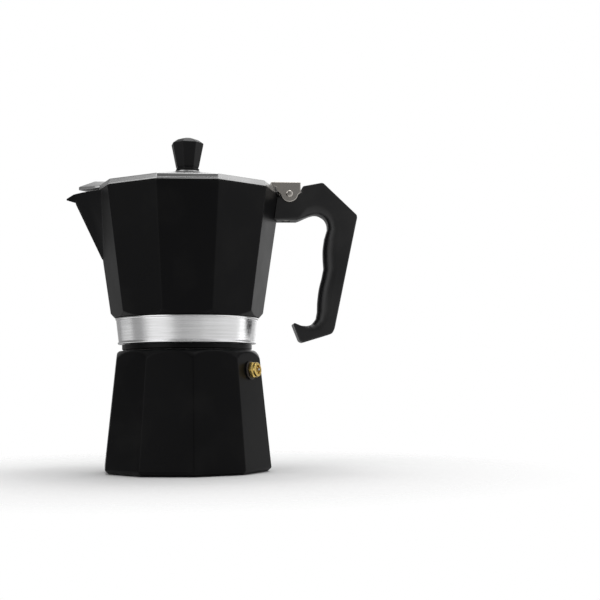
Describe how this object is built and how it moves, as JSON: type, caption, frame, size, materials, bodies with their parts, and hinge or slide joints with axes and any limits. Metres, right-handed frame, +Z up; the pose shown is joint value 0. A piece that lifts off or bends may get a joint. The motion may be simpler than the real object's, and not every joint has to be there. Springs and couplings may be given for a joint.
{
  "type": "stovetop espresso pot",
  "caption": "Faceted stovetop coffee pot: boiler with safety valve, screw-on upper chamber with spout, hinged lid with knob, angular side handle, inner funnel, seal and strainers.",
  "frame": {"origin": "centre of the boiler's flat underside, on the surface that the pot stands on", "axes": "+Z up; +X towards the handle, with the spout at -X; +Y away from the side where the safety valve is"},
  "size_m": [0.18, 0.1102, 0.2062],
  "materials": {
    "black_paint": "satin black paint on cast aluminium, fine orange-peel texture",
    "bare_aluminium": "turned and lightly polished",
    "lid_aluminium": "polished casting with a bright edge",
    "filter_steel": "satin pressed sheet",
    "hinge_steel": "nickel plated pressed steel",
    "valve_brass": "turned brass",
    "washer_fibre": "dark red-brown fibre",
    "gasket_rubber": "off-white silicone",
    "bakelite": "satin black moulded thermoset"
  },
  "bodies": {
    "boiler": {"boiler": "black_paint", "valve_body": "valve_brass", "valve_washer": "washer_fibre", "valve_cap": "valve_brass", "valve_spring": "hinge_steel"},
    "valve_plunger": {"valve_plunger": "hinge_steel"},
    "funnel": {"funnel": "bare_aluminium", "funnel_strainer": "bare_aluminium"},
    "seal": {"gasket": "gasket_rubber"},
    "filter": {"filter_plate": "filter_steel"},
    "top": {"threaded_collar": "bare_aluminium", "upper_chamber": "black_paint", "coffee_column": "bare_aluminium", "handle": "bakelite", "handle_screw": "hinge_steel", "hinge_pin": "hinge_steel"},
    "lid": {"lid": "lid_aluminium", "lid_hinge_leaf": "hinge_steel", "lid_rivet_near": "hinge_steel", "lid_rivet_far": "hinge_steel", "knob": "bakelite", "knob_screw": "hinge_steel"}
  },
  "joints": [
    {"name": "top_lift_off", "type": "slide", "parent": "boiler", "child": "seal", "axis": [0, 0, 1], "range_m": [0, 0.2]},
    {"name": "thread_rise", "type": "slide", "parent": "seal", "child": "filter", "axis": [0, 0, 1], "range_m": [0, 0.0101]},
    {"name": "unscrew_top", "type": "hinge", "parent": "filter", "child": "top", "pos_m": [0, 0, 0.0852], "axis": [0, 0, 1], "range_deg": [0, 900]},
    {"name": "lid_open", "type": "hinge", "parent": "top", "child": "lid", "pos_m": [0.0631, 0, 0.1706], "axis": [0, 1, 0], "range_deg": [0, 95]},
    {"name": "funnel_lift_out", "type": "slide", "parent": "boiler", "child": "funnel", "axis": [0, 0, 1], "range_m": [0, 0.0901]},
    {"name": "valve_release", "type": "slide", "parent": "boiler", "child": "valve_plunger", "axis": [0.8465, -0.5228, 0.1], "range_m": [0, 0.0012], "stiffness_N_per_m": 400, "springref_m": -0.002, "deforming": ["valve_spring"]}
  ],
  "couplings": [
    {"joint": "thread_rise", "follows": "unscrew_top", "m_per_rad": 0.00063662},
    {"joint": "funnel_lift_out", "follows": "top_lift_off", "ratio": 0.45}
  ]
}
